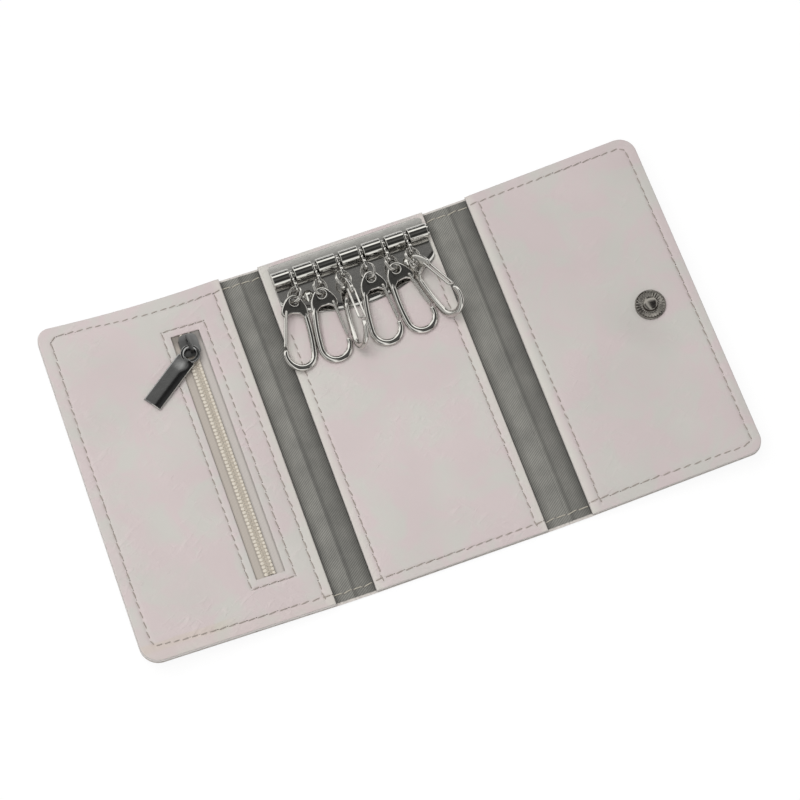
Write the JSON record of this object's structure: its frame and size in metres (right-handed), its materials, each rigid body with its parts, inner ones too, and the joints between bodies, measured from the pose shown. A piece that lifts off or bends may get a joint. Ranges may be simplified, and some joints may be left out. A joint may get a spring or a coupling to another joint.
{
  "type": "key case",
  "caption": "Folding leather key case, open flat: zipped pocket panel, key rail with hooks on rings, and a closing flap with a snap.",
  "frame": {"origin": "centre of the middle panel's back face", "axes": "+X across the open case towards the panel with the snap stud, +Y up the height towards the key rail, +Z out of the inner side"},
  "size_m": [0.2131, 0.12, 0.0152],
  "materials": {
    "outer_leather": "semi-gloss pearl grain",
    "inner_leather": "semi-gloss pearl grain",
    "board": "matte",
    "lining": "matte twill",
    "zip_tape": "matte weave",
    "zip_coil": "satin",
    "dark_metal": "polished dark",
    "snap_metal": "polished dark nickel",
    "polished_metal": "mirror polished",
    "hook_metal": "polished dark nickel"
  },
  "bodies": {
    "middle": {"cover_middle": "outer_leather", "board_middle": "board", "face_middle": "inner_leather", "rail": "polished_metal", "rail_pin": "hook_metal", "rail_rivets": "polished_metal"},
    "left_wall": {"cover_left_fold": "outer_leather", "lining_left": "lining"},
    "left_panel": {"cover_left": "outer_leather", "board_left": "board", "pocket_lining": "lining", "face_left": "inner_leather", "zip_tape_inner": "zip_tape", "zip_tape_outer": "zip_tape", "zip_coil_inner": "zip_coil", "zip_coil_outer": "zip_coil", "snap_socket": "snap_metal", "socket_cap": "snap_metal"},
    "slider": {"zip_slider": "dark_metal"},
    "pull": {"zip_pull": "dark_metal"},
    "right_wall": {"cover_right_fold": "outer_leather", "lining_right": "lining"},
    "right_panel": {"cover_right": "outer_leather", "board_right": "board", "face_right": "inner_leather", "snap_stud": "snap_metal", "stud_cap": "snap_metal"},
    "hanger_1": {"hanger_1": "hook_metal"},
    "ring_1": {"ring_1": "hook_metal"},
    "hook_1": {"hook_1": "hook_metal"},
    "gate_1": {"gate_1": "hook_metal"},
    "hanger_2": {"hanger_2": "hook_metal"},
    "ring_2": {"ring_2": "hook_metal"},
    "hook_2": {"hook_2": "hook_metal"},
    "gate_2": {"gate_2": "hook_metal"},
    "hanger_3": {"hanger_3": "hook_metal"},
    "ring_3": {"ring_3": "hook_metal"},
    "hook_3": {"hook_3": "hook_metal"},
    "gate_3": {"gate_3": "hook_metal"},
    "hanger_4": {"hanger_4": "hook_metal"},
    "ring_4": {"ring_4": "hook_metal"},
    "hook_4": {"hook_4": "hook_metal"},
    "gate_4": {"gate_4": "hook_metal"},
    "hanger_5": {"hanger_5": "hook_metal"},
    "ring_5": {"ring_5": "hook_metal"},
    "hook_5": {"hook_5": "hook_metal"},
    "gate_5": {"gate_5": "hook_metal"},
    "hanger_6": {"hanger_6": "hook_metal"},
    "ring_6": {"ring_6": "hook_metal"},
    "hook_6": {"hook_6": "hook_metal"},
    "gate_6": {"gate_6": "hook_metal"}
  },
  "joints": [
    {"name": "left_fold_inner", "type": "hinge", "parent": "middle", "child": "left_wall", "pos_m": [-0.0309, 0, 0.0013], "axis": [0, 1, 0], "range_deg": [-3.2, 66.8]},
    {"name": "left_fold_outer", "type": "hinge", "parent": "left_wall", "child": "left_panel", "pos_m": [-0.04268, 0, 0.00196], "axis": [0, 1, 0], "range_deg": [-3.2, 107.1]},
    {"name": "right_fold_inner", "type": "hinge", "parent": "middle", "child": "right_wall", "pos_m": [0.0302, 0, 0.0013], "axis": [0, -1, 0], "range_deg": [-3.05, 76.95]},
    {"name": "right_fold_outer", "type": "hinge", "parent": "right_wall", "child": "right_panel", "pos_m": [0.04448, 0, 0.00206], "axis": [0, -1, 0], "range_deg": [-3.05, 95.45]},
    {"name": "zip_slide", "type": "slide", "parent": "left_panel", "child": "slider", "axis": [0, -1, 0], "range_m": [0, 0.0775]},
    {"name": "pull_lift", "type": "hinge", "parent": "slider", "child": "pull", "pos_m": [-0.06003, 0.03891, 0.00874], "axis": [0.9938, 0, -0.1115], "range_deg": [-110, 0]},
    {"name": "hanger_swing_1", "type": "hinge", "parent": "middle", "child": "hanger_1", "pos_m": [-0.0199, 0.052, 0.0057], "axis": [1, 0, 0], "range_deg": [-160, 0]},
    {"name": "ring_swing_1", "type": "hinge", "parent": "hanger_1", "child": "ring_1", "pos_m": [-0.0199, 0.04737, 0.0065], "axis": [1, 0, 0], "range_deg": [-30, 0]},
    {"name": "hook_swing_1", "type": "hinge", "parent": "ring_1", "child": "hook_1", "pos_m": [-0.02247, 0.04254, 0.00593], "axis": [1, 0, 0], "range_deg": [-12, 0]},
    {"name": "gate_press_1", "type": "hinge", "parent": "hook_1", "child": "gate_1", "pos_m": [-0.0262, 0.03968, 0.0066], "axis": [0.2448, -0.0901, 0.9654], "range_deg": [0, 25], "stiffness_Nm_per_rad": 0.004, "springref_deg": -8.59},
    {"name": "hanger_swing_2", "type": "hinge", "parent": "middle", "child": "hanger_2", "pos_m": [-0.01174, 0.052, 0.0057], "axis": [1, 0, 0], "range_deg": [-160, 0]},
    {"name": "ring_swing_2", "type": "hinge", "parent": "hanger_2", "child": "ring_2", "pos_m": [-0.01174, 0.04737, 0.0065], "axis": [1, 0, 0], "range_deg": [-30, 0]},
    {"name": "hook_swing_2", "type": "hinge", "parent": "ring_2", "child": "hook_2", "pos_m": [-0.01278, 0.042, 0.00593], "axis": [1, 0, 0], "range_deg": [-12, 0]},
    {"name": "gate_press_2", "type": "hinge", "parent": "hook_2", "child": "gate_2", "pos_m": [-0.00991, 0.03823, 0.00563], "axis": [0.0049, 0.0806, -0.9967], "range_deg": [0, 25], "stiffness_Nm_per_rad": 0.004, "springref_deg": -8.59},
    {"name": "hanger_swing_3", "type": "hinge", "parent": "middle", "child": "hanger_3", "pos_m": [-0.00358, 0.052, 0.0057], "axis": [-1, 0, 0], "range_deg": [0, 165]},
    {"name": "ring_swing_3", "type": "hinge", "parent": "hanger_3", "child": "ring_3", "pos_m": [-0.00358, 0.04737, 0.0065], "axis": [1, 0, 0], "range_deg": [-30, 0]},
    {"name": "hook_swing_3", "type": "hinge", "parent": "ring_3", "child": "hook_3", "pos_m": [-0.00438, 0.04201, 0.00745], "axis": [1, 0, 0], "range_deg": [-12, 0]},
    {"name": "gate_press_3", "type": "hinge", "parent": "hook_3", "child": "gate_3", "pos_m": [-0.00339, 0.03879, 0.0108], "axis": [0.923, -0.102, -0.371], "range_deg": [0, 25], "stiffness_Nm_per_rad": 0.004, "springref_deg": -8.59},
    {"name": "hanger_swing_4", "type": "hinge", "parent": "middle", "child": "hanger_4", "pos_m": [0.00458, 0.052, 0.0057], "axis": [1, 0, 0], "range_deg": [-160, 0]},
    {"name": "ring_swing_4", "type": "hinge", "parent": "hanger_4", "child": "ring_4", "pos_m": [0.00458, 0.04737, 0.0065], "axis": [1, 0, 0], "range_deg": [-30, 0]},
    {"name": "hook_swing_4", "type": "hinge", "parent": "ring_4", "child": "hook_4", "pos_m": [0.00477, 0.0419, 0.00593], "axis": [1, 0, 0], "range_deg": [-12, 0]},
    {"name": "gate_press_4", "type": "hinge", "parent": "hook_4", "child": "gate_4", "pos_m": [0.00773, 0.0382, 0.00563], "axis": [0.0031, 0.0807, -0.9967], "range_deg": [0, 25], "stiffness_Nm_per_rad": 0.004, "springref_deg": -8.59},
    {"name": "hanger_swing_5", "type": "hinge", "parent": "middle", "child": "hanger_5", "pos_m": [0.01274, 0.052, 0.0057], "axis": [1, 0, 0], "range_deg": [-160, 0]},
    {"name": "ring_swing_5", "type": "hinge", "parent": "hanger_5", "child": "ring_5", "pos_m": [0.01274, 0.04737, 0.0065], "axis": [1, 0, 0], "range_deg": [-30, 0]},
    {"name": "hook_swing_5", "type": "hinge", "parent": "ring_5", "child": "hook_5", "pos_m": [0.01378, 0.042, 0.00593], "axis": [1, 0, 0], "range_deg": [-12, 0]},
    {"name": "gate_press_5", "type": "hinge", "parent": "hook_5", "child": "gate_5", "pos_m": [0.01735, 0.03888, 0.00563], "axis": [-0.0112, 0.0799, -0.9967], "range_deg": [0, 25], "stiffness_Nm_per_rad": 0.004, "springref_deg": -8.59},
    {"name": "hanger_swing_6", "type": "hinge", "parent": "middle", "child": "hanger_6", "pos_m": [0.0209, 0.052, 0.0057], "axis": [-1, 0, 0], "range_deg": [0, 165]},
    {"name": "ring_swing_6", "type": "hinge", "parent": "hanger_6", "child": "ring_6", "pos_m": [0.0209, 0.04737, 0.0065], "axis": [1, 0, 0], "range_deg": [-30, 0]},
    {"name": "hook_swing_6", "type": "hinge", "parent": "ring_6", "child": "hook_6", "pos_m": [0.02052, 0.0419, 0.00698], "axis": [1, 0, 0], "range_deg": [-12, 0]},
    {"name": "gate_press_6", "type": "hinge", "parent": "hook_6", "child": "gate_6", "pos_m": [0.02352, 0.03947, 0.00974], "axis": [0.7444, 0.1946, -0.6388], "range_deg": [0, 25], "stiffness_Nm_per_rad": 0.004, "springref_deg": -8.59}
  ]
}
